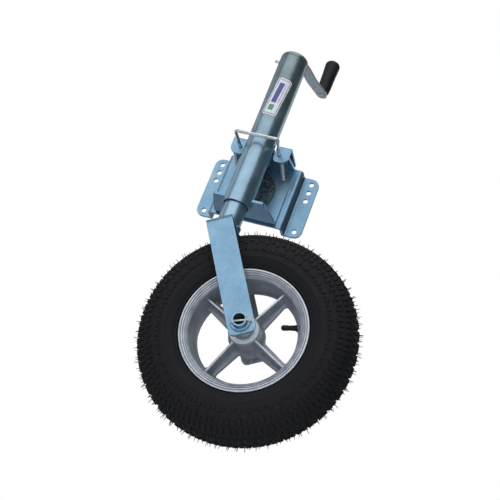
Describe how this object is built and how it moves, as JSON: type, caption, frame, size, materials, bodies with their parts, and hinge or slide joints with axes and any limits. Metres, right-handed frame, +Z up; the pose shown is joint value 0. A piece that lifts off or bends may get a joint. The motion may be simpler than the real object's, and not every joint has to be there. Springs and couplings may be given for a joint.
{
  "type": "trailer jack with caster wheel",
  "caption": "Top-wind swivel trailer jack: zinc plated tube on a hat bracket with a pull-bail lock, and a raked fork carrying a pneumatic caster wheel.",
  "frame": {"origin": "centre of the bracket's mounting plane, between its two bolted flanges", "axes": "+Z up along the jack tube, +X to the right seen from the wheel's side, +Y out of the mounting plane into the trailer frame"},
  "size_m": [0.3812, 0.1874, 0.7946],
  "materials": {
    "zinc_plate": "zinc plated steel sheet",
    "zinc_tube": "zinc plated steel tube",
    "bright_wire": "bright zinc wire",
    "machined_steel": "machined steel",
    "cast_rim": "cast, dull grey",
    "nut_brass": "plain",
    "guide_nylon": "natural nylon",
    "grip_plastic": "black moulded",
    "tyre_rubber": "black",
    "stem_rubber": "black",
    "label_paper": "plain white sticker"
  },
  "bodies": {
    "bracket": {"mount_bracket": "zinc_plate", "pivot_drum": "zinc_plate"},
    "jack": {"swivel_channel": "zinc_plate", "outer_tube": "zinc_tube", "top_cap": "zinc_tube", "guide_bush": "guide_nylon", "thrust_bearing": "machined_steel", "grease_nipple": "bright_wire", "sticker": "label_paper", "spring_right": "bright_wire", "spring_left": "bright_wire"},
    "lock": {"lock_plate": "zinc_plate", "lock_pin": "machined_steel", "bail": "bright_wire"},
    "crank": {"screw": "machined_steel", "crank_arm": "zinc_plate", "crank_pin": "bright_wire"},
    "grip": {"grip": "grip_plastic"},
    "lift": {"screw_nut": "nut_brass"},
    "caster": {"inner_tube": "zinc_tube", "inner_guide": "guide_nylon", "fork": "zinc_plate", "axle": "zinc_tube", "axle_washer_near": "bright_wire", "axle_washer_far": "bright_wire", "split_pin_near": "bright_wire", "split_pin_far": "bright_wire", "axle_spacer_near": "zinc_tube", "axle_spacer_far": "zinc_tube"},
    "wheel": {"rim": "cast_rim", "tyre": "tyre_rubber", "valve_stem": "stem_rubber", "hub_bush_near": "guide_nylon", "hub_bush_far": "guide_nylon"}
  },
  "joints": [
    {"name": "swing", "type": "hinge", "parent": "bracket", "child": "jack", "pos_m": [0, -0.03, 0], "axis": [0, -1, 0], "range_deg": [0, 90]},
    {"name": "lock_pull", "type": "slide", "parent": "jack", "child": "lock", "axis": [0, 1, 0], "range_m": [-0.01, 0], "stiffness_N_per_m": 1200, "deforming": ["spring_right", "spring_left"]},
    {"name": "crank_turn", "type": "hinge", "parent": "jack", "child": "crank", "pos_m": [0, -0.0928, 0.24], "axis": [0, 0, 1], "range_deg": [-11990, 1670]},
    {"name": "grip_spin", "type": "hinge", "parent": "crank", "child": "grip", "pos_m": [0.04103, 0.00385, 0.29], "axis": [0, 0, 1], "continuous": true},
    {"name": "lift", "type": "slide", "parent": "jack", "child": "lift", "axis": [0, 0, 1], "range_m": [-0.2, 0.028]},
    {"name": "caster_swivel", "type": "hinge", "parent": "lift", "child": "caster", "pos_m": [0, -0.0928, -0.1], "axis": [0, 0, 1], "continuous": true},
    {"name": "wheel_spin", "type": "hinge", "parent": "caster", "child": "wheel", "pos_m": [0.1012, -0.0928, -0.2921], "axis": [0, 1, 0], "continuous": true}
  ],
  "couplings": [
    {"joint": "lift", "follows": "crank_turn", "m_per_rad": 0.00095493}
  ]
}
